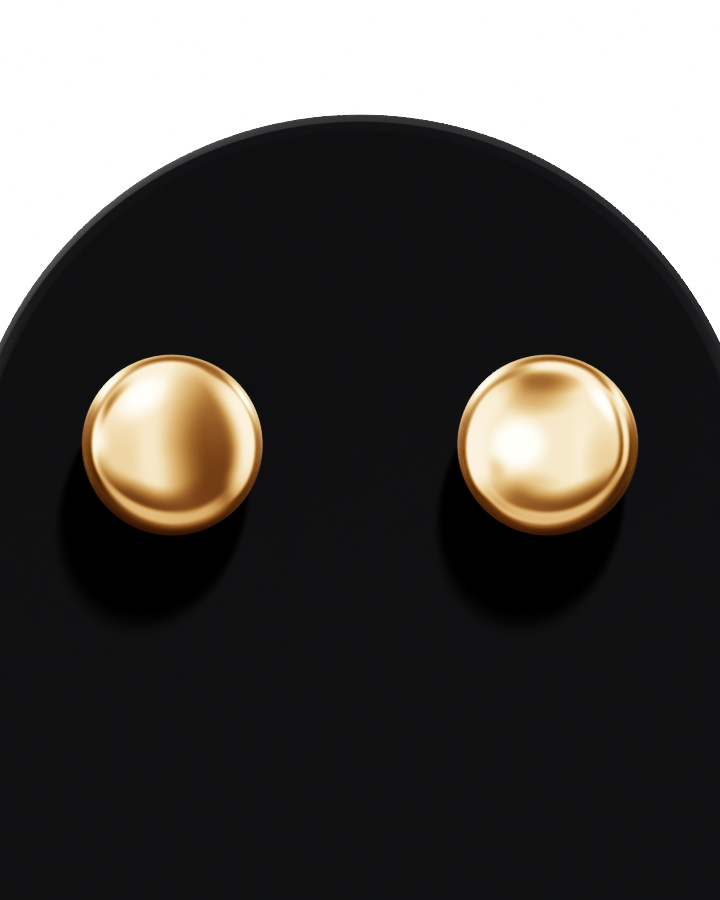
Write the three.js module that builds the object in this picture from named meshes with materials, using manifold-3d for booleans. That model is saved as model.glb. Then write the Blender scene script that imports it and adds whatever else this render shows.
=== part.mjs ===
// A pair of polished gold button studs on a plain arched display stand.
// Each stud's post goes through a hole in the stand and is held behind it by a butterfly ear nut.
// Millimetres. +Z is up, the studs face -Y, and the origin is the centre of the stand's underside.
import * as THREE from "three";
import { mergeVertices } from "three/addons/utils/BufferGeometryUtils.js";
import Module from "manifold-3d";

// The stand: a moulded panel that leans back on a foot behind it.
const panelHalfWidth = 22.4; // also the radius of the arched top, at the panel's back face
const archCentreHeight = 37; // from the bottom edge up the front face to the centre of the arch
const panelThickness = 3;
const panelLean = THREE.MathUtils.degToRad(8);
const edgeDraft = 0.4; // how far the edge wall slopes in from the back face to the front
const edgeRollWidth = 0.5; // a shallow roll along the edge of the front face
const edgeRollDepth = 0.05;
const footReach = 27; // behind the panel's back face, at the table
const footWidth = 34;
const footThickness = 3;
const footCornerRadius = 9;
const footEdgeRadius = 0.8;
const footFilletRadius = 4;

// The studs: flattened balls, closed at the back by a flat land that the post is soldered to.
const studSpacing = 20.8;
const studAboveArchCentre = 4.05;
const buttonDiameter = 10;
const buttonFrontHeight = 2.4; // from the widest circle to the crown
const buttonBackHeight = 2; // from the widest circle to the back land
const buttonBackLandDiameter = 4.2;
const buttonFullness = 2.1; // the power of the crown's curve: 2 is an ellipse, more is fuller
const postDiameter = 0.8;
const postTail = 3.4; // what stands out behind the ear nut
const postNotchFromTip = 1.7;
const postNotchWidth = 0.5;
const postNotchDepth = 0.07;
const solderFilletRadius = 0.35;

// The ear nuts: sheet metal with a wing rolled up on each side of the post.
const nutSheet = 0.32;
const nutWingWidth = 2.7;
const nutRollCore = 0.34; // radius of the space left inside a rolled wing
const nutRollGap = 0.23; // between the sheet's end and the turn round it
const nutPlateRim = 0.3; // of the plate beyond the wings, at its two sides
const nutPlateLip = 0.85; // the same above and below

// Clearances
const seatGap = 0.15; // between a stud or a nut and the panel
const postHoleClearance = 0.15; // between a post and the hole in the panel
const nutHoleClearance = 0.08; // between a post and the hole in the nut, and the wings that grip it

// How finely curves are cut into flats
const archSteps = 72;
const buttonSides = 48;
const crownSteps = 12;
const backSteps = 7;
const wingSteps = 22;
const smallArcSteps = 5;
const holeSides = 24;

const quarterTurn = Math.PI / 2;
const postRadius = postDiameter / 2;
const rollEndRadius = nutRollCore + nutSheet / 2; // of the sheet's middle line
const rollRadius = rollEndRadius + nutSheet + nutRollGap;
const nutDepth = 2 * rollRadius + nutSheet;

const wasm = await Module();
wasm.setup();

function solidFrom(geometry) {
  const bare = geometry.clone();
  bare.deleteAttribute("normal");
  bare.deleteAttribute("uv");
  const merged = mergeVertices(bare);
  return new wasm.Manifold(
    new wasm.Mesh({
      numProp: 3,
      vertProperties: merged.attributes.position.array,
      triVerts: new Uint32Array(merged.index.array),
    }),
  );
}

function geometryFrom(solid) {
  const mesh = solid.getMesh();
  const geometry = new THREE.BufferGeometry();
  geometry.setAttribute("position", new THREE.BufferAttribute(mesh.vertProperties, 3));
  geometry.setIndex(new THREE.BufferAttribute(mesh.triVerts, 1));
  geometry.computeVertexNormals();
  return geometry;
}

// Points of an arc, both ends included.
function arc(centreX, centreY, radius, from, to, steps) {
  const points = [];
  for (let i = 0; i <= steps; i++) {
    const angle = THREE.MathUtils.lerp(from, to, i / steps);
    const point = new THREE.Vector2(Math.cos(angle), Math.sin(angle)).multiplyScalar(radius);
    points.push(point.add(new THREE.Vector2(centreX, centreY)));
  }
  return points;
}

// A quarter of a superellipse, from its widest point to its crown, without the first point.
function quarterCurve(startRadius, endRadius, height, power, steps) {
  const points = [];
  for (let i = 1; i <= steps; i++) {
    const angle = (quarterTurn * i) / steps;
    const across = Math.max(Math.cos(angle), 0) ** (2 / power);
    const up = Math.sin(angle) ** (2 / power);
    const radius = i === steps ? endRadius : THREE.MathUtils.lerp(endRadius, startRadius, across);
    points.push(new THREE.Vector2(radius, height * up));
  }
  return points;
}

// The stand's frame: the front face lies in the XZ plane, Y runs into the panel, Z up its slope.

// The arched outline, moved in all round but for the bottom, which the table cuts off.
function archOutline(inset, bottom) {
  const radius = panelHalfWidth - inset;
  const top = arc(0, archCentreHeight, radius, 0, Math.PI, archSteps);
  return [new THREE.Vector2(radius, bottom), ...top, new THREE.Vector2(-radius, bottom)];
}

// A closed body through outlines of equal length, each at its own depth.
function loft(sections) {
  const count = sections[0].outline.length;
  const positions = sections.flatMap(({ outline, depth }) => outline.flatMap((p) => [p.x, depth, p.y]));
  const indices = [];
  for (let s = 0; s + 1 < sections.length; s++) {
    for (let i = 0; i < count; i++) {
      const a = s * count + i;
      const b = s * count + ((i + 1) % count);
      indices.push(a, a + count, b, b, a + count, b + count);
    }
  }
  const last = (sections.length - 1) * count;
  for (const [a, b, c] of THREE.ShapeUtils.triangulateShape(sections[0].outline, [])) {
    indices.push(a, b, c);
    indices.push(last + a, last + c, last + b);
  }
  const geometry = new THREE.BufferGeometry();
  geometry.setAttribute("position", new THREE.Float32BufferAttribute(positions, 3));
  geometry.setIndex(indices);
  return geometry;
}

function panelGeometry() {
  const below = -panelThickness; // far enough down for its back to reach the table as it leans
  return loft([
    { outline: archOutline(edgeDraft + edgeRollWidth, below), depth: 0 },
    { outline: archOutline(edgeDraft, below), depth: edgeRollDepth },
    { outline: archOutline(0, below), depth: panelThickness },
  ]);
}

// The foot's section in the YZ plane, with a fillet up the panel's back.
function footSection() {
  const backAtTable = panelThickness / Math.cos(panelLean);
  const rear = backAtTable + footReach;
  const filletHeight = footThickness + footFilletRadius;
  const filletY = backAtTable + (footFilletRadius + Math.sin(panelLean) * filletHeight) / Math.cos(panelLean);
  const fillet = arc(filletY, filletHeight, footFilletRadius, -quarterTurn, -Math.PI - panelLean, smallArcSteps * 2);
  const filletTop = fillet[fillet.length - 1];
  const inPanel = panelThickness / 2;
  const edgeY = rear - footEdgeRadius;
  const edgeZ = footThickness - footEdgeRadius;
  return [
    new THREE.Vector2(inPanel, 0),
    new THREE.Vector2(rear, 0),
    ...arc(edgeY, edgeZ, footEdgeRadius, 0, quarterTurn, smallArcSteps),
    ...fillet,
    new THREE.Vector2(filletTop.x - inPanel, filletTop.y),
  ];
}

function footSolid() {
  const section = new THREE.ExtrudeGeometry(new THREE.Shape(footSection()), {
    depth: footWidth,
    bevelEnabled: false,
  });
  // The section's X becomes Y, its Y becomes Z, and the extrusion runs along X.
  section.applyMatrix4(new THREE.Matrix4().makeBasis(
    new THREE.Vector3(0, 1, 0),
    new THREE.Vector3(0, 0, 1),
    new THREE.Vector3(1, 0, 0),
  ));
  section.translate(-footWidth / 2, 0, 0);

  const rear = panelThickness / Math.cos(panelLean) + footReach;
  const cornerX = footWidth / 2 - footCornerRadius;
  const cornerY = rear - footCornerRadius;
  const plan = new THREE.ExtrudeGeometry(
    new THREE.Shape([
      new THREE.Vector2(footWidth / 2, 0),
      ...arc(cornerX, cornerY, footCornerRadius, 0, quarterTurn, smallArcSteps * 2),
      ...arc(-cornerX, cornerY, footCornerRadius, quarterTurn, Math.PI, smallArcSteps * 2),
      new THREE.Vector2(-footWidth / 2, 0),
    ]),
    { depth: 2 * (footThickness + footFilletRadius), bevelEnabled: false },
  );
  plan.translate(0, 0, -footThickness / 2);
  return solidFrom(section).intersect(solidFrom(plan));
}

function standSolid() {
  const studHeight = archCentreHeight + studAboveArchCentre;
  let panel = solidFrom(panelGeometry());
  for (const side of [-1, 1]) {
    const hole = new THREE.CylinderGeometry(
      postRadius + postHoleClearance,
      postRadius + postHoleClearance,
      3 * panelThickness,
      holeSides,
    );
    hole.translate((side * studSpacing) / 2, 0, studHeight);
    panel = panel.subtract(solidFrom(hole));
  }
  const leaning = panel.rotate([-THREE.MathUtils.radToDeg(panelLean), 0, 0]);
  const underTable = new THREE.BoxGeometry(4 * panelHalfWidth, 8 * panelThickness, 4 * panelThickness);
  underTable.translate(0, 0, -2 * panelThickness);
  return leaning.subtract(solidFrom(underTable)).add(footSolid());
}

// A stud, turned about Y: +Y is out of its crown, and zero is the flat land on its back.
function studProfile() {
  const buttonRadius = buttonDiameter / 2;
  const landRadius = buttonBackLandDiameter / 2;
  const postLength = 2 * seatGap + panelThickness + nutDepth + postTail;
  const tip = -postLength;
  const notch = tip + postNotchFromTip;
  const filletY = -solderFilletRadius;
  const back = quarterCurve(buttonRadius, landRadius, -buttonBackHeight, buttonFullness, backSteps);
  const front = quarterCurve(buttonRadius, 0, buttonFrontHeight, buttonFullness, crownSteps);
  const raised = ({ x, y }) => new THREE.Vector2(x, y + buttonBackHeight);
  const roundedTip = arc(0, tip + postRadius, postRadius, -quarterTurn, 0, smallArcSteps);
  return [
    new THREE.Vector2(0, tip),
    ...roundedTip.slice(1),
    new THREE.Vector2(postRadius, notch - postNotchWidth / 2),
    new THREE.Vector2(postRadius - postNotchDepth, notch - postNotchWidth / 4),
    new THREE.Vector2(postRadius - postNotchDepth, notch + postNotchWidth / 4),
    new THREE.Vector2(postRadius, notch + postNotchWidth / 2),
    ...arc(postRadius + solderFilletRadius, filletY, solderFilletRadius, Math.PI, quarterTurn, smallArcSteps),
    ...back.reverse().map(raised),
    new THREE.Vector2(buttonRadius, buttonBackHeight),
    ...front.map(raised),
  ];
}

function studGeometry() {
  const geometry = new THREE.LatheGeometry(studProfile(), buttonSides);
  geometry.rotateX(Math.PI); // the crown then faces -Y, out of the panel
  return geometry;
}

// A wing is rolled about its own centre, from -90 degrees, at the plate, round and in to its end.
const rollEnd = THREE.MathUtils.degToRad(250);
function rollRadiusAt(angle) {
  const share = THREE.MathUtils.clamp((angle - quarterTurn) / (rollEnd - quarterTurn), 0, 1);
  return THREE.MathUtils.lerp(rollRadius, rollEndRadius, share);
}

// Each wing's roll stands just clear of the post.
const rollCentre = new THREE.Vector2(
  postRadius + nutHoleClearance + nutSheet / 2 + rollRadiusAt(Math.PI),
  nutSheet / 2 + rollRadius,
);

// Both wings and the plate between them, as one strip of sheet seen from its side.
function wingStrip() {
  const outer = [];
  const inner = [];
  for (let i = 0; i <= wingSteps; i++) {
    const angle = THREE.MathUtils.lerp(-quarterTurn, rollEnd, i / wingSteps);
    const outward = new THREE.Vector2(Math.cos(angle), Math.sin(angle));
    const radius = rollRadiusAt(angle);
    outer.push(outward.clone().multiplyScalar(radius + nutSheet / 2).add(rollCentre));
    inner.push(outward.clone().multiplyScalar(radius - nutSheet / 2).add(rollCentre));
  }
  const rightSide = [...outer, ...inner.reverse()];
  const leftSide = rightSide.map(({ x, y }) => new THREE.Vector2(-x, y)).reverse();
  return new THREE.Shape([...rightSide, ...leftSide]);
}

function nutGeometry() {
  const wings = new THREE.ExtrudeGeometry(wingStrip(), { depth: nutWingWidth, bevelEnabled: false });
  wings.translate(0, 0, -nutWingWidth / 2);

  const plateHalfLength = rollCentre.x + rollRadius + nutSheet / 2 + nutPlateRim;
  const plateHalfWidth = nutWingWidth / 2 + nutPlateLip;
  const plateOutline = new THREE.Shape();
  plateOutline.absellipse(0, 0, plateHalfLength, plateHalfWidth, 0, 2 * Math.PI);
  const plate = new THREE.ExtrudeGeometry(plateOutline, {
    depth: nutSheet,
    bevelEnabled: false,
    curveSegments: holeSides,
  });
  plate.rotateX(-quarterTurn);

  const holeRadius = postRadius + nutHoleClearance;
  const hole = new THREE.CylinderGeometry(holeRadius, holeRadius, 4 * nutSheet, holeSides);
  return geometryFrom(solidFrom(wings).add(solidFrom(plate)).subtract(solidFrom(hole)));
}

const gold = new THREE.MeshStandardMaterial({ color: 0xe2b36a, roughness: 0.16, metalness: 1 });
const satinBlack = new THREE.MeshStandardMaterial({ color: 0x141416, roughness: 0.55, metalness: 0 });

function namedMesh(name, geometry, material) {
  const mesh = new THREE.Mesh(geometry, material);
  mesh.name = name;
  return mesh;
}

const earringsOnStand = new THREE.Group();
const onTable = new THREE.Group();
onTable.position.y = -(panelThickness / Math.cos(panelLean) + footReach) / 2;
earringsOnStand.add(onTable);
onTable.add(namedMesh("display_stand", geometryFrom(standSolid()), satinBlack));

const leaning = new THREE.Group();
leaning.rotation.x = -panelLean;
onTable.add(leaning);
for (const [side, name] of [[-1, "left"], [1, "right"]]) {
  const place = new THREE.Group();
  place.position.set((side * studSpacing) / 2, 0, archCentreHeight + studAboveArchCentre);
  leaning.add(place);

  const stud = namedMesh(`${name}_stud`, studGeometry(), gold);
  stud.position.y = -seatGap;
  const nut = namedMesh(`${name}_ear_nut`, nutGeometry(), gold);
  nut.position.y = panelThickness + seatGap;
  place.add(stud, nut);
}

export default earringsOnStand;
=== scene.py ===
import math
import bpy
import bmesh
import numpy as np
from mathutils import Matrix, Vector


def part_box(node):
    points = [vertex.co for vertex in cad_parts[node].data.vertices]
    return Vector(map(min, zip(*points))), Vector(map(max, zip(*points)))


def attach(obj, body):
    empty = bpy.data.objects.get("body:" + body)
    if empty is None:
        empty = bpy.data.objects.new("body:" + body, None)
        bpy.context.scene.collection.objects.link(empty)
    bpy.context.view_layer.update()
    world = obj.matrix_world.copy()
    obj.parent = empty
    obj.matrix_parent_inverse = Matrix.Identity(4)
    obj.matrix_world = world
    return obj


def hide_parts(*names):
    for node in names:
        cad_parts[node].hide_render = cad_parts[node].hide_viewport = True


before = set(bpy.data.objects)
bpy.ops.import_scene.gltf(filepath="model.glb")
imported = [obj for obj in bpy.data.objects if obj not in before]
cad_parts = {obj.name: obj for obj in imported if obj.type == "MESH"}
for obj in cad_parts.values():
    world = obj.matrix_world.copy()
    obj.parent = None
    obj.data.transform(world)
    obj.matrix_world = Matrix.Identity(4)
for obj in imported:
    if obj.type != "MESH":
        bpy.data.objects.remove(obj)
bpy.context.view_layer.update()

mm = 0.001
overshoot = 1 * mm        # how far a cutter reaches past what it cuts
weldDistance = 1e-7       # points of one mesh that lie closer than this are one
scene = bpy.context.scene


# small helpers

def newObject(name, mesh):
    obj = bpy.data.objects.new(name, mesh)
    scene.collection.objects.link(obj)
    return obj


def meshFrom(name, points, faces):
    mesh = bpy.data.meshes.new(name)
    mesh.from_pydata([tuple(p) for p in points], [], [tuple(f) for f in faces])
    mesh.validate()
    return mesh


def ringFaces(rings, perRing):
    # quads between closed rings of points that follow each other in one list
    faces = []
    for r in range(rings - 1):
        for i in range(perRing):
            a, b = r * perRing + i, r * perRing + (i + 1) % perRing
            faces.append((a, a + perRing, b + perRing, b))
    return faces


def arcPoints(cx, cy, radius, start, end, steps):
    return [(cx + radius * math.cos(t), cy + radius * math.sin(t))
            for t in np.linspace(start, end, steps + 1)]


def circlePoints(radius, sides):
    return arcPoints(0, 0, radius, 0, 2 * math.pi, sides)[:-1]


def faceOutward(mesh):
    bm = bmesh.new()
    bm.from_mesh(mesh)
    bmesh.ops.remove_doubles(bm, verts=bm.verts, dist=weldDistance)
    bmesh.ops.recalc_face_normals(bm, faces=bm.faces)
    bm.to_mesh(mesh)
    bm.free()


def prism(name, outline, low, high, place):
    # an outline carried from low to high; place turns (u, v, w) into a point
    points = [place(u, v, low) for u, v in outline] + [place(u, v, high) for u, v in outline]
    n = len(outline)
    faces = ringFaces(2, n) + [range(n), range(n, 2 * n)]
    mesh = meshFrom(name, points, faces)
    faceOutward(mesh)
    return newObject(name, mesh)


def applyModifiers(obj):
    made = bpy.data.meshes.new_from_object(obj.evaluated_get(bpy.context.evaluated_depsgraph_get()))
    obj.modifiers.clear()
    old, obj.data = obj.data, made
    bpy.data.meshes.remove(old)


def combine(obj, operation, other):
    mod = obj.modifiers.new("combine", "BOOLEAN")
    mod.operation, mod.object, mod.solver = operation, other, "EXACT"
    applyModifiers(obj)
    bpy.data.objects.remove(other)


def smooth(obj, sharpOver):
    obj.data.shade_smooth()
    obj.data.set_sharp_from_angle(angle=sharpOver)
    mod = obj.modifiers.new("weighted normals", "WEIGHTED_NORMAL")
    mod.keep_sharp = True


def finishPiece(obj, material, node):
    obj.data.materials.clear()
    obj.data.materials.append(material)
    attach(obj, "root")
    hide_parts(node)


# places that the pieces share; the stand leans back, and its own frame has X across,
# Y into the panel and Z up the slope, with the origin where its front face meets the table

layout = {
    "lean": math.radians(8),
    "archCentre": 37 * mm,           # up the front face
    "panelThickness": 3 * mm,
    "studSpacing": 20.8 * mm,
    "studAboveArchCentre": 4.05 * mm,
    "seat": 0.15 * mm,               # buttons and ear nuts stand this clear of the panel
    "postRadius": 0.4 * mm,
    "postHoleRadius": 0.55 * mm,
    "holeSides": 48,
}
studHeight = layout["archCentre"] + layout["studAboveArchCentre"]
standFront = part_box("display_stand")[0].y
onStand = Matrix.Translation((0, standFront, 0)) @ Matrix.Rotation(-layout["lean"], 4, "X")
standAxes = onStand.to_3x3()


def onPostAxis(side, depth):
    # the stand's axes, moved to a post's axis this deep behind the front face
    return onStand @ Matrix.Translation((side * layout["studSpacing"] / 2, depth, studHeight))


# materials

def nodeMaterial(name):
    mat = bpy.data.materials.new(name)
    mat.use_nodes = True
    nodes, links = mat.node_tree.nodes, mat.node_tree.links
    return mat, nodes, links, nodes["Principled BSDF"]


def noiseOf(nodes, links, size, detail):
    place = nodes.new("ShaderNodeTexCoord")
    noise = nodes.new("ShaderNodeTexNoise")
    noise.inputs["Scale"].default_value = 1 / size
    noise.inputs["Detail"].default_value = detail
    links.new(place.outputs["Object"], noise.inputs["Vector"])
    return noise.outputs["Fac"]


def between(nodes, links, source, low, high, fromLow=0.3, fromHigh=0.7):
    # from low to high as the source rises; noise seldom leaves 0.3 to 0.7
    ramp = nodes.new("ShaderNodeMapRange")
    ramp.inputs["From Min"].default_value = fromLow
    ramp.inputs["From Max"].default_value = fromHigh
    ramp.inputs["To Min"].default_value = low
    ramp.inputs["To Max"].default_value = high
    links.new(source, ramp.inputs["Value"])
    return ramp.outputs["Result"]


def mixed(nodes, links, amount, first, second):
    mix = nodes.new("ShaderNodeMix")
    mix.data_type = "RGBA"
    mix.inputs["A"].default_value = (*first, 1)
    mix.inputs["B"].default_value = (*second, 1)
    links.new(amount, mix.inputs["Factor"])
    return mix.outputs["Result"]


def bumpFrom(nodes, links, shader, height, strength, distance):
    bump = nodes.new("ShaderNodeBump")
    bump.inputs["Strength"].default_value = strength
    bump.inputs["Distance"].default_value = distance
    links.new(height, bump.inputs["Height"])
    links.new(bump.outputs["Normal"], shader.inputs["Normal"])


polishedFinish = {
    "colours": ((0.95, 0.60, 0.20), (0.94, 0.59, 0.195)),
    "edgeTint": (0.96, 0.84, 0.66),
    "roughness": (0.05, 0.09),
    "hazeSize": 2.5 * mm,
    "hazeDetail": 4,
    "rippleSize": 3 * mm,
    "rippleDetail": 2,
    "rippleStrength": 0.05,
    "rippleDepth": 0.001 * mm,
}
tumbledFinish = {
    "colours": ((0.93, 0.60, 0.22), (0.90, 0.56, 0.20)),
    "edgeTint": (0.95, 0.80, 0.55),
    "roughness": (0.20, 0.34),
    "hazeSize": 0.5 * mm,
    "hazeDetail": 4,
    "rippleSize": 0.4 * mm,
    "rippleDetail": 2,
    "rippleStrength": 0.3,
    "rippleDepth": 0.01 * mm,
}
acrylicFinish = {
    "colours": ((0.012, 0.012, 0.0125), (0.0135, 0.0135, 0.014)),
    "roughness": (0.30, 0.36),
    "grainSize": 0.25 * mm,
    "grainDetail": 6,
    "grainStrength": 0.10,
    "grainDepth": 0.008 * mm,
}


def goldMaterial(name, finish):
    mat, nodes, links, shader = nodeMaterial(name)
    shader.inputs["Metallic"].default_value = 1
    shader.inputs["Specular Tint"].default_value = (*finish["edgeTint"], 1)
    haze = noiseOf(nodes, links, finish["hazeSize"], finish["hazeDetail"])
    links.new(mixed(nodes, links, haze, *finish["colours"]), shader.inputs["Base Color"])
    links.new(between(nodes, links, haze, *finish["roughness"]), shader.inputs["Roughness"])
    ripple = noiseOf(nodes, links, finish["rippleSize"], finish["rippleDetail"])
    bumpFrom(nodes, links, shader, ripple, finish["rippleStrength"], finish["rippleDepth"])
    return mat


def acrylicMaterial(name, finish):
    mat, nodes, links, shader = nodeMaterial(name)
    grain = noiseOf(nodes, links, finish["grainSize"], finish["grainDetail"])
    links.new(mixed(nodes, links, grain, *finish["colours"]), shader.inputs["Base Color"])
    links.new(between(nodes, links, grain, *finish["roughness"]), shader.inputs["Roughness"])
    bumpFrom(nodes, links, shader, grain, finish["grainStrength"], finish["grainDepth"])
    return mat


polishedGold = goldMaterial("polished_gold", polishedFinish)
tumbledGold = goldMaterial("tumbled_gold", tumbledFinish)
satinBlack = acrylicMaterial("satin_black", acrylicFinish)
print("materials made")


# the stand: an arched panel on a foot that reaches back

stand = {
    "halfWidth": 22.4 * mm,
    "bandWidth": 0.53 * mm,      # nearly flat land round the front face
    "bandDepth": 0.1 * mm,
    "chamferWidth": 0.36 * mm,   # steep polished chamfer outside it
    "chamferDepth": 1.25 * mm,
    "wallDraft": 0.09 * mm,      # the wall behind the chamfer flares out this much to the back
    "edgeRound": 0.03 * mm,
    "footReach": 27 * mm,
    "footWidth": 34 * mm,
    "footThickness": 3 * mm,
    "footCorner": 9 * mm,
    "footEdge": 0.8 * mm,
    "footFillet": 4 * mm,
    "archSteps": 240,
    "roundSteps": 3,
    "footSteps": 24,
    "footEdgeSteps": 12,
    "sharpOver": math.radians(30),
}


def archOutline(inset):
    radius = stand["halfWidth"] - inset
    top = arcPoints(0, layout["archCentre"], radius, 0, math.pi, stand["archSteps"])
    below = -layout["panelThickness"]
    return [(radius, below)] + top + [(-radius, below)]


def panelSections():
    # from the flat front face out over the land, down the chamfer and the wall to the back
    s, thickness = stand, layout["panelThickness"]
    corners = [
        (s["wallDraft"] + s["chamferWidth"] + 2 * s["bandWidth"], 0),
        (s["wallDraft"] + s["chamferWidth"] + s["bandWidth"], 0),
        (s["wallDraft"] + s["chamferWidth"], s["bandDepth"]),
        (s["wallDraft"], s["chamferDepth"]),
        (0, thickness - s["edgeRound"]),
        (s["edgeRound"], thickness),
    ]
    sections = [corners[0]]
    for before, corner, after in zip(corners, corners[1:], corners[2:]):
        back, ahead = (Vector(p) - Vector(corner) for p in (before, after))
        start, end = (Vector(corner) + d.normalized() * s["edgeRound"] for d in (back, ahead))
        for t in np.linspace(0, 1, s["roundSteps"] + 1):      # each corner rounded a little
            sections.append(tuple(start.lerp(Vector(corner), t).lerp(Vector(corner).lerp(end, t), t)))
    return sections + [corners[-1]]


def standPanel():
    sections = panelSections()
    outlines = [archOutline(inset) for inset, depth in sections]
    perRing = len(outlines[0])
    points = [onStand @ Vector((x, depth, z))
              for (inset, depth), outline in zip(sections, outlines) for x, z in outline]
    faces = ringFaces(len(sections), perRing)
    faces.append(range(perRing))
    faces.append(range((len(sections) - 1) * perRing, len(sections) * perRing))
    mesh = meshFrom("display_stand_panel", points, faces)
    faceOutward(mesh)
    return newObject("stand_of_black_acrylic", mesh)


def standFoot():
    s, lean, thickness = stand, layout["lean"], layout["panelThickness"]
    backAtTable = thickness / math.cos(lean)
    rear = backAtTable + s["footReach"]
    filletHeight = s["footThickness"] + s["footFillet"]
    filletY = backAtTable + (s["footFillet"] + math.sin(lean) * filletHeight) / math.cos(lean)
    fillet = arcPoints(filletY, filletHeight, s["footFillet"],
                       -math.pi / 2, -math.pi - lean, s["footSteps"])
    edge = arcPoints(rear - s["footEdge"], s["footThickness"] - s["footEdge"], s["footEdge"],
                     0, math.pi / 2, s["footEdgeSteps"])
    inPanel = thickness / 2
    section = ([(inPanel, -overshoot), (rear, -overshoot)] + edge + fillet
               + [(fillet[-1][0] - inPanel, fillet[-1][1])])
    foot = prism("foot_section", section, -s["footWidth"] / 2, s["footWidth"] / 2,
                 lambda u, v, w: (w, standFront + u, v))
    cornerX, cornerY = s["footWidth"] / 2 - s["footCorner"], rear - s["footCorner"]
    plan = ([(s["footWidth"] / 2, 0)]
            + arcPoints(cornerX, cornerY, s["footCorner"], 0, math.pi / 2, s["footSteps"])
            + arcPoints(-cornerX, cornerY, s["footCorner"], math.pi / 2, math.pi, s["footSteps"])
            + [(-s["footWidth"] / 2, 0)])
    outline = prism("foot_plan", plan, -2 * overshoot, 2 * filletHeight,
                    lambda u, v, w: (u, standFront + v, w))
    combine(foot, "INTERSECT", outline)
    return foot


def cutAtTable(obj):
    bm = bmesh.new()
    bm.from_mesh(obj.data)
    cut = bmesh.ops.bisect_plane(bm, geom=bm.verts[:] + bm.edges[:] + bm.faces[:],
                                 plane_co=(0, 0, 0), plane_no=(0, 0, 1), clear_inner=True)
    rim = [e for e in cut["geom_cut"] if isinstance(e, bmesh.types.BMEdge)]
    bmesh.ops.contextual_create(bm, geom=rim)
    bmesh.ops.recalc_face_normals(bm, faces=bm.faces)
    bm.to_mesh(obj.data)
    bm.free()


def buildStand():
    obj = standPanel()
    combine(obj, "UNION", standFoot())
    for side in (-1, 1):
        place = onPostAxis(side, 0)
        circle = circlePoints(layout["postHoleRadius"], layout["holeSides"])
        hole = prism("post_hole", circle, -overshoot, layout["panelThickness"] + overshoot,
                     lambda u, v, w: place @ Vector((u, w, v)))
        combine(obj, "DIFFERENCE", hole)
    cutAtTable(obj)
    finishPiece(obj, satinBlack, "display_stand")
    smooth(obj, stand["sharpOver"])
    return obj


standObject = buildStand()
print("stand built:", len(standObject.data.polygons), "faces")


# the studs: a profile turned about the post's axis, given as radius and distance out of the
# panel's face. The ear nut's sizes stand here too, because the post's length follows its depth.

stud = {
    "radius": 5 * mm,
    "front": 2.4 * mm,           # widest circle to crown
    "back": 2 * mm,              # widest circle to the flat land
    "landRadius": 2.1 * mm,
    "fullness": 2.1,             # 2 is an ellipse, more is squarer
    "postTail": 3.4 * mm,        # behind the ear nut
    "notchFromTip": 1.7 * mm,
    "notchWidth": 0.5 * mm,
    "notchDepth": 0.07 * mm,
    "solder": 0.35 * mm,
    "sides": 256,
    "tipSteps": 12,
    "notchSteps": 16,
    "backSteps": 28,
    "frontSteps": 64,
    "sharpOver": math.radians(50),
}

nut = {
    "sheet": 0.32 * mm,
    "wingWidth": 2.7 * mm,
    "rollCore": 0.34 * mm,       # inner radius where a wing's roll ends
    "rollGap": 0.23 * mm,
    "rim": 0.3 * mm,
    "lip": 0.85 * mm,
    "clear": 0.08 * mm,          # round the post
    "rollTurn": math.radians(250),
    "edgeRound": 0.05 * mm,
    "edgeSteps": 3,
    "rollPoints": 72,
    "ovalSides": 96,
    "roundOver": math.radians(50),
    "sharpOver": math.radians(40),
}
rollEnd = nut["rollCore"] + nut["sheet"] / 2
rollStart = rollEnd + nut["sheet"] + nut["rollGap"]
nutDepth = 2 * rollStart + nut["sheet"]


def buttonCurve(startRadius, endRadius, height, steps):
    points = []
    for t in np.linspace(0, math.pi / 2, steps + 1)[1:]:
        across = max(math.cos(t), 0) ** (2 / stud["fullness"])
        radius = endRadius + (startRadius - endRadius) * across
        points.append((radius, height * math.sin(t) ** (2 / stud["fullness"])))
    points[-1] = (endRadius, height)
    return points


def studProfile():
    p, postRadius = stud, layout["postRadius"]
    tip = -(2 * layout["seat"] + layout["panelThickness"] + nutDepth + p["postTail"])
    notch = tip + p["notchFromTip"]
    profile = arcPoints(0, tip + postRadius, postRadius, -math.pi / 2, 0, p["tipSteps"])
    profile[0] = (0, tip)
    for t in np.linspace(0, 1, p["notchSteps"] + 1):     # the friction notch near the tip
        profile.append((postRadius - p["notchDepth"] * math.sin(math.pi * t) ** 2,
                        notch + (t - 0.5) * p["notchWidth"]))
    profile += arcPoints(postRadius + p["solder"], -p["solder"], p["solder"],
                         math.pi, math.pi / 2, p["tipSteps"])
    back = buttonCurve(p["radius"], p["landRadius"], -p["back"], p["backSteps"])
    profile += [(r, y + p["back"]) for r, y in reversed(back)]
    profile.append((p["radius"], p["back"]))
    front = buttonCurve(p["radius"], 0, p["front"], p["frontSteps"])
    profile += [(r, y + p["back"]) for r, y in front]
    return profile


def buildStud(side, name, node):
    profile, sides = studProfile(), stud["sides"]
    place = onPostAxis(side, -layout["seat"])
    points, rings = [], profile[1:-1]
    for radius, out in rings:
        for k in range(sides):
            t = 2 * math.pi * k / sides
            points.append(place @ Vector((radius * math.cos(t), -out, radius * math.sin(t))))
    faces = ringFaces(len(rings), sides)
    tip, crown = len(points), len(points) + 1
    points += [place @ Vector((0, -profile[0][1], 0)), place @ Vector((0, -profile[-1][1], 0))]
    last = (len(rings) - 1) * sides
    for k in range(sides):
        faces.append((tip, k, (k + 1) % sides))
        faces.append((crown, last + (k + 1) % sides, last + k))
    mesh = meshFrom(name, points, faces)
    faceOutward(mesh)
    mesh.shade_smooth()
    mesh.set_sharp_from_angle(angle=stud["sharpOver"])
    obj = newObject(name, mesh)
    obj.visible_diffuse = obj.visible_glossy = False     # the satin panel shows no gleam of it
    finishPiece(obj, polishedGold, node)
    return obj


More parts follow.
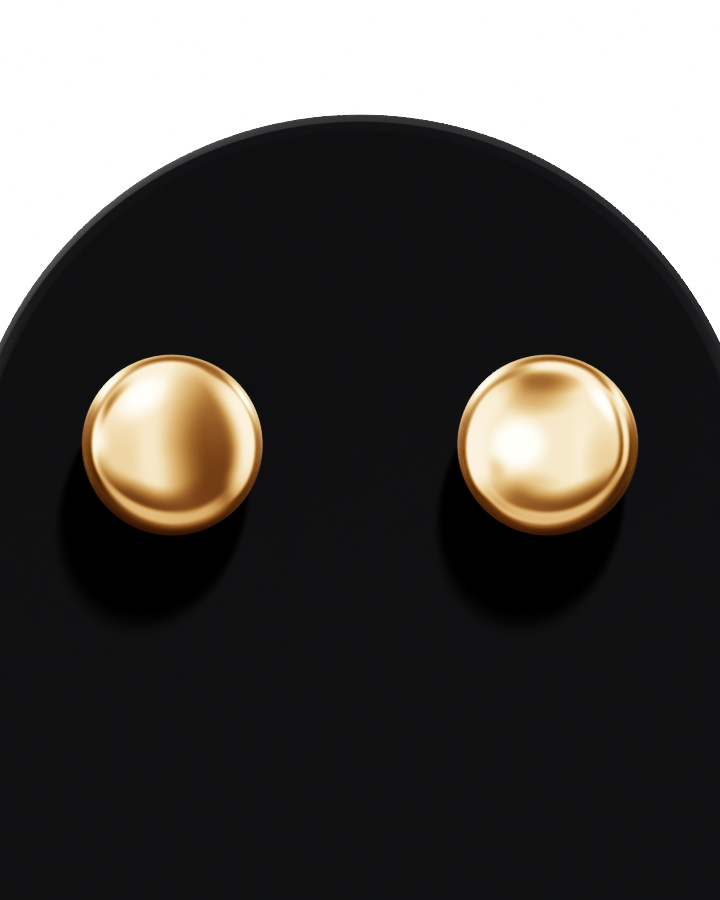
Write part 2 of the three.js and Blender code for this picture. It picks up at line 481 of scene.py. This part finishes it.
leftStud = buildStud(-1, "left_button_and_post", "left_stud")
rightStud = buildStud(1, "right_button_and_post", "right_stud")
print("studs built:", len(leftStud.data.polygons), "faces each")


# the ear nuts: a sheet whose two wings roll back onto an oval plate

def rollRadius(angle):
    # full until the wing turns back, then tighter towards its end
    share = min(max((angle - math.pi / 2) / (nut["rollTurn"] - math.pi / 2), 0), 1)
    return rollStart + (rollEnd - rollStart) * share


def wingStrip():
    half = nut["sheet"] / 2
    centreX = layout["postRadius"] + nut["clear"] + half + rollRadius(math.pi)
    centreY = half + rollStart
    outer, inner = [], []
    for t in np.linspace(-math.pi / 2, nut["rollTurn"], nut["rollPoints"]):
        for line, off in ((outer, half), (inner, -half)):
            r = rollRadius(t) + off
            line.append((centreX + r * math.cos(t), centreY + r * math.sin(t)))
    right = outer + inner[::-1]
    return right + [(-x, y) for x, y in right[::-1]], centreX + rollStart + half


def buildNut(side, name, node):
    strip, wingReach = wingStrip()
    place = onPostAxis(side, layout["panelThickness"] + layout["seat"])
    wings = prism(name, strip, -nut["wingWidth"] / 2, nut["wingWidth"] / 2,
                  lambda u, v, w: place @ Vector((u, v, w)))
    halfLength = wingReach + nut["rim"]
    halfWidth = nut["wingWidth"] / 2 + nut["lip"]
    oval = [(halfLength * x, halfWidth * y) for x, y in circlePoints(1, nut["ovalSides"])]
    plate = prism("plate", oval, 0, nut["sheet"], lambda u, v, w: place @ Vector((u, w, v)))
    combine(wings, "UNION", plate)
    circle = circlePoints(layout["postRadius"] + nut["clear"], layout["holeSides"])
    hole = prism("hole", circle, -overshoot, overshoot, lambda u, v, w: place @ Vector((u, w, v)))
    combine(wings, "DIFFERENCE", hole)
    bevel = wings.modifiers.new("rounded sheet edges", "BEVEL")
    bevel.width, bevel.segments = nut["edgeRound"], nut["edgeSteps"]
    bevel.limit_method, bevel.angle_limit = "ANGLE", nut["roundOver"]
    applyModifiers(wings)
    wings.visible_diffuse = wings.visible_glossy = False
    finishPiece(wings, tumbledGold, node)
    smooth(wings, nut["sharpOver"])
    return wings


leftNut = buildNut(-1, "left_butterfly_nut", "left_ear_nut")
rightNut = buildNut(1, "right_butterfly_nut", "right_ear_nut")
print("ear nuts built:", len(leftNut.data.polygons), "faces each")


# the camera, square to the panel but for a few degrees

camera = {
    "sensorWidth": 36,
    "clip": (1 * mm, 10),
    "distance": 350 * mm,
    "overNormal": math.radians(2.8),       # above square-on to the panel
    "aimAboveArchCentre": 3.68 * mm,
    "frameHeight": 49.83 * mm,             # seen at the buttons' widest circle
}


def placeCamera():
    data = bpy.data.cameras.new("camera")
    obj = newObject("camera", data)
    data.sensor_width = camera["sensorWidth"]
    data.lens = data.sensor_width * camera["distance"] / camera["frameHeight"]
    aim = onStand @ Vector((0, 0, layout["archCentre"] + camera["aimAboveArchCentre"]))
    tilt = layout["lean"] + camera["overNormal"]
    back = Vector((0, -math.cos(tilt), math.sin(tilt)))
    obj.location = aim + back * (camera["distance"] + stud["back"] + layout["seat"])
    obj.rotation_mode = "QUATERNION"
    obj.rotation_quaternion = (-back).to_track_quat("-Z", "Y")
    data.clip_start, data.clip_end = camera["clip"]
    scene.camera = obj
    return obj


cameraObject = placeCamera()
print("camera placed")


# the floor and the pale room; both end in pure white, as a cove does under a lamp

room = {
    "white": 20,                 # what the camera sees of the cove
    "floorTone": 0.85,
    "floorRoughness": 0.7,
    "floorReach": 2,             # metres each way
    "coveFrom": 0.11,            # metres from the stand, where the floor begins to blow out
    "coveTo": 0.24,
    "ahead": 0.03,               # what shiny surfaces see in front, and behind the stand
    "behind": 0.19,
}


def lightSet(name, members, exclude=False):
    group = bpy.data.collections.new(name)
    for member in members:
        group.objects.link(member)
    if exclude:
        for link in group.collection_objects:
            link.light_linking.link_state = "EXCLUDE"
    return group


def buildFloor():
    reach = room["floorReach"]
    corners = [(-reach, -reach, 0), (reach, -reach, 0), (reach, reach, 0), (-reach, reach, 0)]
    mesh = meshFrom("floor", corners, [(0, 1, 2, 3)])
    obj = newObject("floor", mesh)
    mat, nodes, links, shader = nodeMaterial("pale_floor")
    tone = room["floorTone"]
    shader.inputs["Base Color"].default_value = (tone, tone, tone, 1)
    shader.inputs["Roughness"].default_value = room["floorRoughness"]
    white = nodes.new("ShaderNodeEmission")
    white.inputs["Strength"].default_value = room["white"]
    place = nodes.new("ShaderNodeTexCoord")
    away = nodes.new("ShaderNodeVectorMath")
    away.operation = "LENGTH"
    links.new(place.outputs["Object"], away.inputs[0])
    far = between(nodes, links, away.outputs["Value"], 0, 1, room["coveFrom"], room["coveTo"])
    path = nodes.new("ShaderNodeLightPath")
    seen = nodes.new("ShaderNodeMath")
    seen.operation = "MULTIPLY"
    links.new(far, seen.inputs[0])
    links.new(path.outputs["Is Camera Ray"], seen.inputs[1])
    mix = nodes.new("ShaderNodeMixShader")
    links.new(seen.outputs[0], mix.inputs["Fac"])
    links.new(shader.outputs["BSDF"], mix.inputs[1])
    links.new(white.outputs["Emission"], mix.inputs[2])
    links.new(mix.outputs["Shader"], nodes["Material Output"].inputs["Surface"])
    mesh.materials.append(mat)
    obj.visible_glossy = obj.visible_diffuse = False
    return obj


def buildWorld():
    made = bpy.data.worlds.new("studio")
    scene.world = made
    made.use_nodes = True
    nodes, links = made.node_tree.nodes, made.node_tree.links
    seen, shine = nodes["Background"], nodes.new("ShaderNodeBackground")
    seen.inputs["Color"].default_value = (1, 1, 1, 1)
    seen.inputs["Strength"].default_value = room["white"]
    place = nodes.new("ShaderNodeTexCoord")
    split = nodes.new("ShaderNodeSeparateXYZ")
    links.new(place.outputs["Generated"], split.inputs[0])
    shine.inputs["Color"].default_value = (1, 1, 1, 1)
    links.new(between(nodes, links, split.outputs["Y"], room["ahead"], room["behind"], 0, 1),
              shine.inputs["Strength"])
    dark = nodes.new("ShaderNodeBackground")
    dark.inputs["Strength"].default_value = 0
    path = nodes.new("ShaderNodeLightPath")
    forGloss, forCamera = nodes.new("ShaderNodeMixShader"), nodes.new("ShaderNodeMixShader")
    links.new(path.outputs["Is Glossy Ray"], forGloss.inputs["Fac"])
    links.new(dark.outputs[0], forGloss.inputs[1])
    links.new(shine.outputs[0], forGloss.inputs[2])
    links.new(path.outputs["Is Camera Ray"], forCamera.inputs["Fac"])
    links.new(forGloss.outputs[0], forCamera.inputs[1])
    links.new(seen.outputs[0], forCamera.inputs[2])
    links.new(forCamera.outputs[0], nodes["World Output"].inputs["Surface"])


floor = buildFloor()
buildWorld()
print("floor and room made")


# lamps: a small key lamp over the right shoulder for the panel, a broad one for the floor,
# and soft boxes for the gloss along the panel's edge, for its back and for the ear nuts

keyLamp = {                # places are from midway between the studs, in the stand's axes
    "at": (80 * mm, -180 * mm, 290 * mm),
    "aim": (-20 * mm, -60 * mm, -165 * mm),    # under the table, so the light feathers off upwards
    "cone": math.radians(63),
    "coneBlend": 1,
    "radius": 21 * mm,
    "strength": 14,
    "colour": (1, 1, 1.06),
}
floorLamp = {
    "towards": (0.3, -0.2, 1),
    "strength": 12,
    "spread": math.radians(40),
}
softBoxes = {
    "left": {"at": (-310 * mm, -300 * mm, 40 * mm), "size": 260 * mm, "strength": 0.42,
             "lights": "gloss"},
    "right": {"at": (320 * mm, -300 * mm, 40 * mm), "size": 260 * mm, "strength": 0.30,
              "lights": "gloss"},
    "left behind": {"at": (-190 * mm, 400 * mm, 110 * mm), "size": 260 * mm, "strength": 0.082,
                    "lights": "gloss"},
    "back": {"at": (-90 * mm, 330 * mm, 330 * mm), "size": 260 * mm, "strength": 4,
             "lights": "body"},
    "nuts": {"at": (120 * mm, 330 * mm, 260 * mm), "size": 320 * mm, "strength": 9,
             "lights": "nuts"},
}


def buildKeyLamp():
    data = bpy.data.lights.new("key lamp", "SPOT")
    data.shadow_soft_size = keyLamp["radius"]
    data.spot_size, data.spot_blend = keyLamp["cone"], keyLamp["coneBlend"]
    data.color = keyLamp["colour"]
    data.use_nodes = True
    nodes, links = data.node_tree.nodes, data.node_tree.links
    falloff = nodes.new("ShaderNodeLightFalloff")
    falloff.inputs["Strength"].default_value = keyLamp["strength"]
    links.new(falloff.outputs["Constant"], nodes["Emission"].inputs["Strength"])
    obj = newObject("key lamp", data)
    obj.visible_glossy = False
    middle = Vector((0, -layout["seat"] - stud["back"], studHeight))
    obj.location = onStand @ (middle + Vector(keyLamp["at"]))
    aim = onStand @ (middle + Vector(keyLamp["aim"]))
    obj.rotation_mode = "QUATERNION"
    obj.rotation_quaternion = (aim - obj.location).to_track_quat("-Z", "Y")
    obj.light_linking.receiver_collection = lightSet(
        "not under the key lamp", [leftStud, rightStud, leftNut, rightNut, floor], exclude=True)


def buildFloorLamp():
    data = bpy.data.lights.new("floor lamp", "SUN")
    data.energy, data.angle = floorLamp["strength"], floorLamp["spread"]
    obj = newObject("floor lamp", data)
    obj.rotation_mode = "QUATERNION"
    obj.rotation_quaternion = Vector(floorLamp["towards"]).to_track_quat("Z", "Y")
    obj.light_linking.receiver_collection = lightSet("under the floor lamp", [floor])


def buildSoftBox(name, box):
    data = bpy.data.lights.new(name, "AREA")
    data.shape, data.size, data.energy = "SQUARE", box["size"], box["strength"]
    obj = newObject(name, data)
    obj.location = box["at"]
    toStand = onStand @ Vector((0, 0, layout["archCentre"])) - obj.location
    obj.rotation_mode = "QUATERNION"
    obj.rotation_quaternion = toStand.to_track_quat("-Z", "Y")
    obj.visible_camera = False
    obj.visible_diffuse = box["lights"] != "gloss"
    obj.visible_glossy = box["lights"] != "body"
    lit = [leftNut, rightNut] if box["lights"] == "nuts" else [standObject]
    obj.light_linking.receiver_collection = lightSet(name + " lights", lit)


buildKeyLamp()
buildFloorLamp()
for name, box in softBoxes.items():
    buildSoftBox("soft box " + name, box)
print("lamps set")


# what each button mirrors: a painted reflection of lamps, dark flags, the panel and the table, hung
# round it as light on a tent of its own.
# They are set out where they show on the button, in its own radii across and up from its centre,
# with glow as a percentage of full brightness and soft as the width of a shape's faded edges.
# A spot is an ellipse. A ring follows the rim, with rows of (angle, from radius, to radius, glow,
# share), and a column runs up the button, with rows of (height, from, to, glow, share), where
# share is how far the shape covers what is under it. The glows began as tones read off the
# photo, and were then changed after measuring where the render differed from it.

leftMirror = {
    "base": 89.5,
    "shapes": [
        {"kind": "spot", "at": (-0.57, -0.17), "size": (0.26, 0.34), "turn": 0,
         "soft": 1.5, "glow": 83.5},
        {"kind": "spot", "at": (-0.24, -0.02), "size": (0.13, 0.50), "turn": 0,
         "soft": 1.4, "glow": 91},
        {"kind": "spot", "at": (-0.32, 0.57), "size": (0.31, 0.18), "turn": 40,
         "soft": 1.4, "glow": 100},
        {"kind": "column", "soft": (0.62, 0.33), "rows": [      # painted shade: the reflection of a dark flag right of the middle
            (-0.70, 0.06, 0.66, 24, 1), (-0.40, 0.13, 0.685, 24, 1), (-0.20, 0.11, 0.738, 26, 1),
            (0.0, 0.07, 0.735, 29.5, 1), (0.20, 0.08, 0.68, 34, 1), (0.40, 0.11, 0.61, 41, 1),
            (0.60, 0.17, 0.51, 50, 1), (0.75, 0.20, 0.43, 58, 0.95), (0.90, 0.25, 0.39, 73, 0.7)]},
        {"kind": "ring", "soft": (0.20, 0.06), "rows": [        # the bright crescent and the top ring
            (314, 0.80, 0.93, 45, 0.3), (320, 0.79, 0.93, 62, 0.7), (330, 0.77, 0.93, 84, 1),
            (345, 0.745, 0.935, 93, 1), (0, 0.73, 0.935, 94, 1), (30, 0.73, 0.94, 95, 1),
            (45, 0.755, 0.94, 93, 1), (60, 0.80, 0.90, 77, 0.9), (75, 0.84, 0.94, 83, 0.85),
            (90, 0.80, 0.94, 94, 0.9), (105, 0.80, 0.95, 94, 1), (120, 0.84, 0.95, 94, 1),
            (150, 0.875, 0.95, 87, 1), (165, 0.77, 0.94, 94, 1), (180, 0.73, 0.935, 98, 1),
            (195, 0.83, 0.915, 91, 1), (205, 0.85, 0.895, 78, 0.7), (215, 0.84, 0.90, 70, 0)]},
        {"kind": "ring", "soft": (0.06, 0.06), "rows": [        # a sliver of shade
            (122, 0.80, 0.87, 68, 0), (137, 0.80, 0.87, 54, 0.9), (150, 0.795, 0.86, 42, 1),
            (157, 0.79, 0.84, 58, 0.7), (168, 0.79, 0.83, 78, 0)]},
        {"kind": "ring", "soft": (0.05, 0.03), "rows": [        # the painted reflection of the black panel, all round
            (0, 0.918, 1.1, 30, 1), (12, 0.922, 1.1, 37, 1), (45, 0.912, 1.1, 38, 1),
            (60, 0.888, 1.1, 38, 1), (75, 0.922, 1.1, 32, 1), (90, 0.930, 1.1, 33, 1),
            (105, 0.928, 1.1, 38, 1), (120, 0.915, 1.1, 54, 1), (135, 0.885, 1.1, 68, 1),
            (150, 0.89, 1.1, 57, 1), (165, 0.893, 1.1, 33, 1), (180, 0.889, 1.1, 17, 1),
            (195, 0.886, 1.1, 10, 1), (210, 0.858, 1.1, 9, 1), (225, 0.847, 1.1, 9, 1),
            (240, 0.848, 1.1, 9, 1), (270, 0.860, 1.1, 9, 1), (300, 0.863, 1.1, 9, 1),
            (315, 0.90, 1.1, 11, 1), (330, 0.918, 1.1, 16, 1), (345, 0.922, 1.1, 17, 1)]},
        {"kind": "ring", "soft": (0.26, 0.08), "rows": [        # the painted reflection of the dark line at the table's edge
            (180, 0.80, 0.83, 78, 0), (195, 0.82, 0.845, 40, 1), (210, 0.715, 0.83, 33, 1),
            (225, 0.62, 0.795, 26, 1), (240, 0.585, 0.766, 25, 1), (255, 0.575, 0.755, 27, 1),
            (270, 0.57, 0.752, 29, 1), (285, 0.56, 0.749, 30, 1), (300, 0.53, 0.76, 26, 1),
            (315, 0.53, 0.77, 25, 0.9), (330, 0.6, 0.78, 27, 0)]},
        {"kind": "ring", "soft": (0.08, 0.12), "rows": [        # the painted reflection of the lit table
            (200, 0.83, 0.865, 68, 0), (210, 0.82, 0.862, 65, 1), (225, 0.795, 0.868, 72, 1),
            (240, 0.774, 0.876, 73, 1), (255, 0.764, 0.882, 73, 1), (270, 0.756, 0.893, 73, 1),
            (300, 0.765, 0.908, 68, 1), (312, 0.775, 0.91, 50, 1), (320, 0.78, 0.90, 46, 0)]},
        {"kind": "ring", "soft": (0.05, 0.05), "rows": [        # two lamps behind the rim
            (112, 0.95, 1.1, 78, 0), (121, 0.945, 1.1, 88, 0.9), (128, 0.93, 1.1, 98, 1),
            (145, 0.915, 1.1, 99, 1), (152, 0.91, 1.1, 81, 0.9), (160, 0.92, 1.1, 52, 0)]},
        {"kind": "ring", "soft": (0.05, 0.04), "rows": [
            (6, 0.94, 0.985, 74, 0), (16, 0.93, 0.985, 80, 0.9), (28, 0.915, 0.985, 100, 1),
            (38, 0.915, 0.985, 100, 1), (48, 0.925, 1.0, 90, 0.9), (60, 0.96, 1.1, 64, 0)]},
        {"kind": "ring", "soft": (0.03, 0.02), "rows": [        # the thin light line at the very edge
            (0, 0.975, 1.1, 47, 1), (14, 0.975, 1.1, 72, 1), (25, 0.975, 1.1, 86, 1),
            (38, 0.975, 1.1, 86, 1), (50, 0.972, 1.1, 76, 1), (65, 0.975, 1.1, 64, 1),
            (90, 0.98, 1.1, 63, 1), (105, 0.975, 1.1, 74, 1), (115, 0.972, 1.1, 85, 0.8),
            (128, 0.975, 1.1, 95, 0.6), (145, 0.975, 1.1, 91, 0.6), (155, 0.975, 1.1, 80, 0.6),
            (175, 0.98, 1.1, 28, 0.3), (190, 0.98, 1.1, 28, 0), (340, 0.98, 1.1, 30, 0)]},
    ],
}

rightMirror = {
    "base": 91,
    "shapes": [
        {"kind": "spot", "at": (0.38, -0.04), "size": (0.11, 0.40), "turn": 0,
         "soft": 1.5, "glow": 93},
        {"kind": "spot", "at": (0.65, -0.20), "size": (0.19, 0.32), "turn": 0,
         "soft": 1.4, "glow": 82.5},
        {"kind": "spot", "at": (-0.57, -0.27), "size": (0.09, 0.13), "turn": 0,
         "soft": 1.4, "glow": 80},
        {"kind": "spot", "at": (-0.33, 0.01), "size": (0.29, 0.26), "turn": 0,
         "soft": 0.9, "glow": 100},
        {"kind": "spot", "at": (-0.14, 0.555), "size": (0.28, 0.15), "turn": 0,
         "soft": 1.9, "glow": 65},
        {"kind": "spot", "at": (-0.08, 0.71), "size": (0.315, 0.115), "turn": 0,
         "soft": 1.6, "glow": 42},
        {"kind": "spot", "at": (-0.22, -0.43), "size": (0.26, 0.10), "turn": 0,
         "soft": 1.5, "glow": 79},
        {"kind": "ring", "soft": (0.10, 0.06), "rows": [        # the upper right lamp, the top ring
            (14, 0.74, 0.80, 98, 0), (26, 0.71, 0.82, 99, 1), (45, 0.69, 0.85, 100, 1),
            (55, 0.75, 0.87, 95, 0.9), (65, 0.81, 0.93, 93, 0.9), (75, 0.825, 0.94, 94, 1),
            (95, 0.825, 0.94, 94, 1), (105, 0.85, 0.935, 93, 1), (115, 0.85, 0.92, 72, 0)]},
        {"kind": "ring", "soft": (0.16, 0.06), "rows": [        # the bright crescent on the left
            (110, 0.72, 0.82, 76, 0), (121, 0.69, 0.85, 78, 0.8), (134, 0.67, 0.90, 93, 1),
            (180, 0.68, 0.93, 95, 1), (207, 0.70, 0.94, 94, 1), (218, 0.76, 0.91, 77, 0.8),
            (227, 0.78, 0.88, 60, 0)]},
        {"kind": "ring", "soft": (0.05, 0.03), "rows": [        # the painted reflection of the black panel, all round
            (0, 0.889, 1.1, 16, 1), (15, 0.892, 1.1, 32, 1), (30, 0.95, 1.1, 56, 1),
            (45, 0.895, 1.1, 43, 1), (60, 0.93, 1.1, 31, 1), (75, 0.930, 1.1, 33, 1),
            (90, 0.928, 1.1, 34, 1), (105, 0.92, 1.1, 46, 1), (120, 0.92, 1.1, 64, 1),
            (135, 0.915, 1.1, 66, 1), (150, 0.90, 1.1, 58, 1), (165, 0.897, 1.1, 38, 1),
            (180, 0.907, 1.1, 24, 1), (195, 0.914, 1.1, 15, 1), (210, 0.915, 1.1, 14, 1),
            (225, 0.88, 1.1, 13, 1), (240, 0.893, 1.1, 13, 1), (255, 0.873, 1.1, 11, 1),
            (270, 0.862, 1.1, 9, 1), (285, 0.85, 1.1, 9, 1), (300, 0.844, 1.1, 8, 1),
            (315, 0.84, 1.1, 8, 1), (330, 0.852, 1.1, 8, 1), (345, 0.882, 1.1, 10, 1)]},
        {"kind": "ring", "soft": (0.24, 0.08), "rows": [        # the painted reflection of the dark line at the table's edge
            (207, 0.64, 0.75, 70, 0), (221, 0.61, 0.785, 58, 0.55), (231, 0.565, 0.79, 46, 0.9),
            (240, 0.545, 0.785, 39, 1), (255, 0.55, 0.765, 35, 1), (270, 0.56, 0.757, 32, 1),
            (285, 0.58, 0.76, 29, 1), (300, 0.598, 0.772, 27, 1), (315, 0.635, 0.795, 26, 1),
            (330, 0.72, 0.815, 29, 1), (345, 0.78, 0.835, 30, 0)]},
        {"kind": "ring", "soft": (0.05, 0.04), "rows": [        # and its thin end, up the right
            (318, 0.77, 0.79, 27, 0), (332, 0.76, 0.81, 29, 0.8), (345, 0.785, 0.842, 25, 1),
            (0, 0.79, 0.842, 30, 1), (15, 0.795, 0.845, 45, 1), (30, 0.82, 0.865, 64, 0.7),
            (45, 0.86, 0.90, 75, 0)]},
        {"kind": "ring", "soft": (0.08, 0.12), "rows": [        # the painted reflection of the lit table
            (216, 0.82, 0.87, 72, 0), (223, 0.80, 0.88, 67, 0.9), (232, 0.79, 0.88, 63, 1),
            (240, 0.785, 0.885, 69, 1), (255, 0.76, 0.90, 74, 1), (270, 0.76, 0.892, 74, 1),
            (285, 0.765, 0.88, 74, 1), (300, 0.775, 0.872, 74, 1), (315, 0.798, 0.866, 73, 1),
            (330, 0.82, 0.86, 64, 1), (340, 0.83, 0.88, 74, 0)]},
        {"kind": "ring", "soft": (0.04, 0.05), "rows": [        # and its bright end on the right
            (322, 0.81, 0.87, 60, 0), (334, 0.815, 0.868, 60, 0.9), (345, 0.848, 0.892, 82, 1),
            (0, 0.846, 0.89, 90, 1), (15, 0.85, 0.905, 94, 1), (30, 0.87, 0.93, 90, 1),
            (42, 0.88, 0.93, 84, 0)]},
        {"kind": "ring", "soft": (0.05, 0.04), "rows": [        # a sliver of shade, upper left
            (100, 0.84, 0.93, 62, 0), (110, 0.835, 0.925, 58, 0.8), (120, 0.85, 0.915, 50, 1),
            (135, 0.88, 0.92, 60, 1), (150, 0.895, 0.93, 57, 1), (165, 0.90, 0.95, 38, 0)]},
        {"kind": "ring", "soft": (0.05, 0.05), "rows": [        # two lamps behind the rim
            (106, 0.95, 1.1, 78, 0), (116, 0.935, 1.1, 88, 0.9), (128, 0.928, 1.1, 99, 1),
            (145, 0.935, 1.1, 99, 1), (155, 0.94, 1.1, 82, 0.8), (166, 0.95, 1.1, 55, 0)]},
        {"kind": "ring", "soft": (0.05, 0.05), "rows": [
            (12, 0.90, 0.96, 66, 0), (21, 0.90, 0.965, 84, 0.9), (30, 0.893, 0.965, 99, 1),
            (38, 0.915, 0.98, 95, 1), (48, 0.95, 1.1, 84, 0.9), (62, 0.97, 1.1, 60, 0)]},
        {"kind": "ring", "soft": (0.03, 0.02), "rows": [        # the thin light line at the very edge
            (0, 0.98, 1.1, 24, 0.5), (15, 0.975, 1.1, 54, 1), (28, 0.975, 1.1, 81, 1),
            (42, 0.972, 1.1, 84, 1), (55, 0.972, 1.1, 78, 1), (65, 0.975, 1.1, 68, 1),
            (90, 0.98, 1.1, 64, 1), (105, 0.975, 1.1, 74, 1), (118, 0.972, 1.1, 90, 0.8),
            (130, 0.975, 1.1, 96, 0.8), (148, 0.975, 1.1, 92, 0.8), (162, 0.978, 1.1, 74, 0.8),
            (180, 0.98, 1.1, 47, 0.8), (195, 0.98, 1.1, 33, 0.6), (210, 0.98, 1.1, 22, 0),
            (350, 0.98, 1.1, 22, 0)]},
    ],
}

# glow, then the red, green and blue of the light that gives it. All but the first and last rows
# are rounded from a fitting program, which worked them out from the photo's golds through the
# view transform: they are not chosen by hand.

tentLight = [
    (0, 0.02, 0.01, 0.02),
    (11, 0.115, 0.060, 0.085),
    (20, 0.17, 0.10, 0.14),
    (31, 0.25, 0.18, 0.23),
    (43, 0.355, 0.28, 0.33),
    (54, 0.52, 0.43, 0.40),
    (66, 0.80, 0.71, 0.44),
    (74, 1.10, 1.00, 0.49),
    (82, 1.60, 1.62, 0.64),
    (90, 2.45, 2.80, 1.60),
    (93, 3.10, 3.60, 2.80),
    (98, 4.70, 6.10, 9.40),
    (100, 6.60, 8.00, 15.5),
]


# the tents: a big sphere round each button, seen by that button alone. Each is painted once,
# so that its picture shows where it should from the camera's place above, and then stands still.

tent = {
    "radius": 400 * mm,
    "rows": 128,
    "columns": 256,
    "blurAlongRing": 5,          # degrees
    "blurAlongColumn": 0.05,
    "darkest": 0.003,
    "leastFacing": 1e-6,
    "profilePoints": 4000,       # for turning a slope of the button into a radius
    "profileEnd": 0.9999,
}


def ease(x):
    x = np.clip(x, 0, 1)
    return x * x * (3 - 2 * x)


def readOff(where, rows, column, blur, period):
    # one column of a shape's rows, read off along the shape with its corners rounded
    keys = [row[0] for row in rows]
    values = [row[column] for row in rows]
    shifts = blur * np.array([-1, -0.5, 0, 0.5, 1])
    return sum(np.interp(where + s, keys, values, period=period) for s in shifts) / len(shifts)


def stripOver(glow, where, across, shape, blur, period):
    low, high, level, share = (readOff(where, shape["rows"], c, blur, period) for c in (1, 2, 3, 4))
    softIn, softOut = shape["soft"]
    cover = share * ease((across - low) / softIn + 0.5) * ease((high - across) / softOut + 0.5)
    return glow + (level - glow) * cover


def spotOver(glow, u, v, shape):
    turn = math.radians(shape["turn"])
    du, dv = u - shape["at"][0], v - shape["at"][1]
    x = du * math.cos(turn) + dv * math.sin(turn)
    y = dv * math.cos(turn) - du * math.sin(turn)
    away = np.hypot(x / shape["size"][0], y / shape["size"][1])
    return glow + (shape["glow"] - glow) * ease((1 - away) / shape["soft"] + 0.5)


def glowAt(u, v, mirror):
    angle, radius = np.degrees(np.arctan2(v, u)), np.hypot(u, v)
    glow = np.full_like(u, mirror["base"])
    for shape in mirror["shapes"]:
        if shape["kind"] == "spot":
            glow = spotOver(glow, u, v, shape)
        elif shape["kind"] == "ring":
            glow = stripOver(glow, angle, radius, shape, tent["blurAlongRing"], 360)
        else:
            glow = stripOver(glow, v, u, shape, tent["blurAlongColumn"], None)
    return glow


def lightFor(glow):
    keys = [row[0] for row in tentLight]
    return np.stack([np.exp(np.interp(glow, keys, np.log([row[c] for row in tentLight])))
                     for c in (1, 2, 3)], axis=1)


def tentDirections():
    # in the stand's axes, ring by ring from straight ahead to straight behind
    theta = math.pi * (np.arange(tent["rows"] + 1) + 0.5) / (tent["rows"] + 1)
    phi = 2 * math.pi * np.arange(tent["columns"]) / tent["columns"]
    theta, phi = (a.ravel() for a in np.meshgrid(theta, phi, indexing="ij"))
    across, up = np.sin(theta) * np.cos(phi), np.sin(theta) * np.sin(phi)
    return np.stack([across, -np.cos(theta), up], axis=1)


def mirroredAt(directions, toCamera):
    # the spot on the button, as the camera sees it, that mirrors each direction
    facing = directions + toCamera
    slope = np.hypot(facing[:, 0], facing[:, 2]) / np.maximum(-facing[:, 1], tent["leastFacing"])
    radii = np.linspace(0, tent["profileEnd"], tent["profilePoints"])
    full, rise = stud["fullness"], stud["front"] / stud["radius"]
    slopes = rise * radii ** (full - 1) / (1 - radii ** full) ** (1 - 1 / full)
    radius = np.interp(slope, slopes, radii)
    height = rise * (1 - radius ** full) ** (1 / full)
    turn = np.arctan2(facing[:, 2], facing[:, 0])
    u = radius * np.cos(turn) + height * toCamera[0] / toCamera[1]
    v = radius * np.sin(turn) + height * toCamera[2] / toCamera[1]
    return u, v


def tentMaterial(name):
    mat = bpy.data.materials.new(name)
    mat.use_nodes = True
    nodes, links = mat.node_tree.nodes, mat.node_tree.links
    nodes.remove(nodes["Principled BSDF"])
    colour = nodes.new("ShaderNodeAttribute")
    colour.attribute_name = "light"
    glow, clear = nodes.new("ShaderNodeEmission"), nodes.new("ShaderNodeBsdfTransparent")
    add = nodes.new("ShaderNodeAddShader")
    links.new(colour.outputs["Color"], glow.inputs["Color"])
    links.new(glow.outputs[0], add.inputs[0])
    links.new(clear.outputs[0], add.inputs[1])
    links.new(add.outputs[0], nodes["Material Output"].inputs["Surface"])
    return mat


def buildTent(name, button, side, mirror):
    centre = onPostAxis(side, -layout["seat"] - stud["back"]).translation
    toCamera = np.array(standAxes.inverted() @ (cameraObject.location - centre).normalized())
    directions = tentDirections()
    light = lightFor(glowAt(*mirroredAt(directions, toCamera), mirror))
    # the room shows through in front, so its light is taken off there
    light[directions[:, 1] < 0] -= room["ahead"]
    light = np.maximum(light, tent["darkest"])
    rings, columns = tent["rows"] + 1, tent["columns"]
    ends = [range(columns), range((rings - 1) * columns, rings * columns)]
    faces = ringFaces(rings, columns) + ends
    points = np.array(centre) + directions @ np.array(standAxes).T * tent["radius"]
    mesh = meshFrom(name, points, faces)
    shade = mesh.color_attributes.new("light", "FLOAT_COLOR", "POINT")
    colours = np.hstack([light, np.ones((len(light), 1))])
    shade.data.foreach_set("color", colours.astype(np.float32).ravel())
    mesh.materials.append(tentMaterial(name))
    obj = newObject(name, mesh)
    obj.visible_camera = obj.visible_diffuse = obj.visible_shadow = False
    obj.light_linking.receiver_collection = lightSet(name + " lights", [button])
    pieces = [standObject, floor, leftStud, rightStud, leftNut, rightNut]
    others = [piece for piece in pieces if piece != button]
    obj.light_linking.blocker_collection = lightSet(name + " shines past", others, exclude=True)


buildTent("left tent", leftStud, -1, leftMirror)
buildTent("right tent", rightStud, 1, rightMirror)
scene.view_settings.view_transform = "AgX"
scene.view_settings.look = "AgX - High Contrast"
print("tents hung")
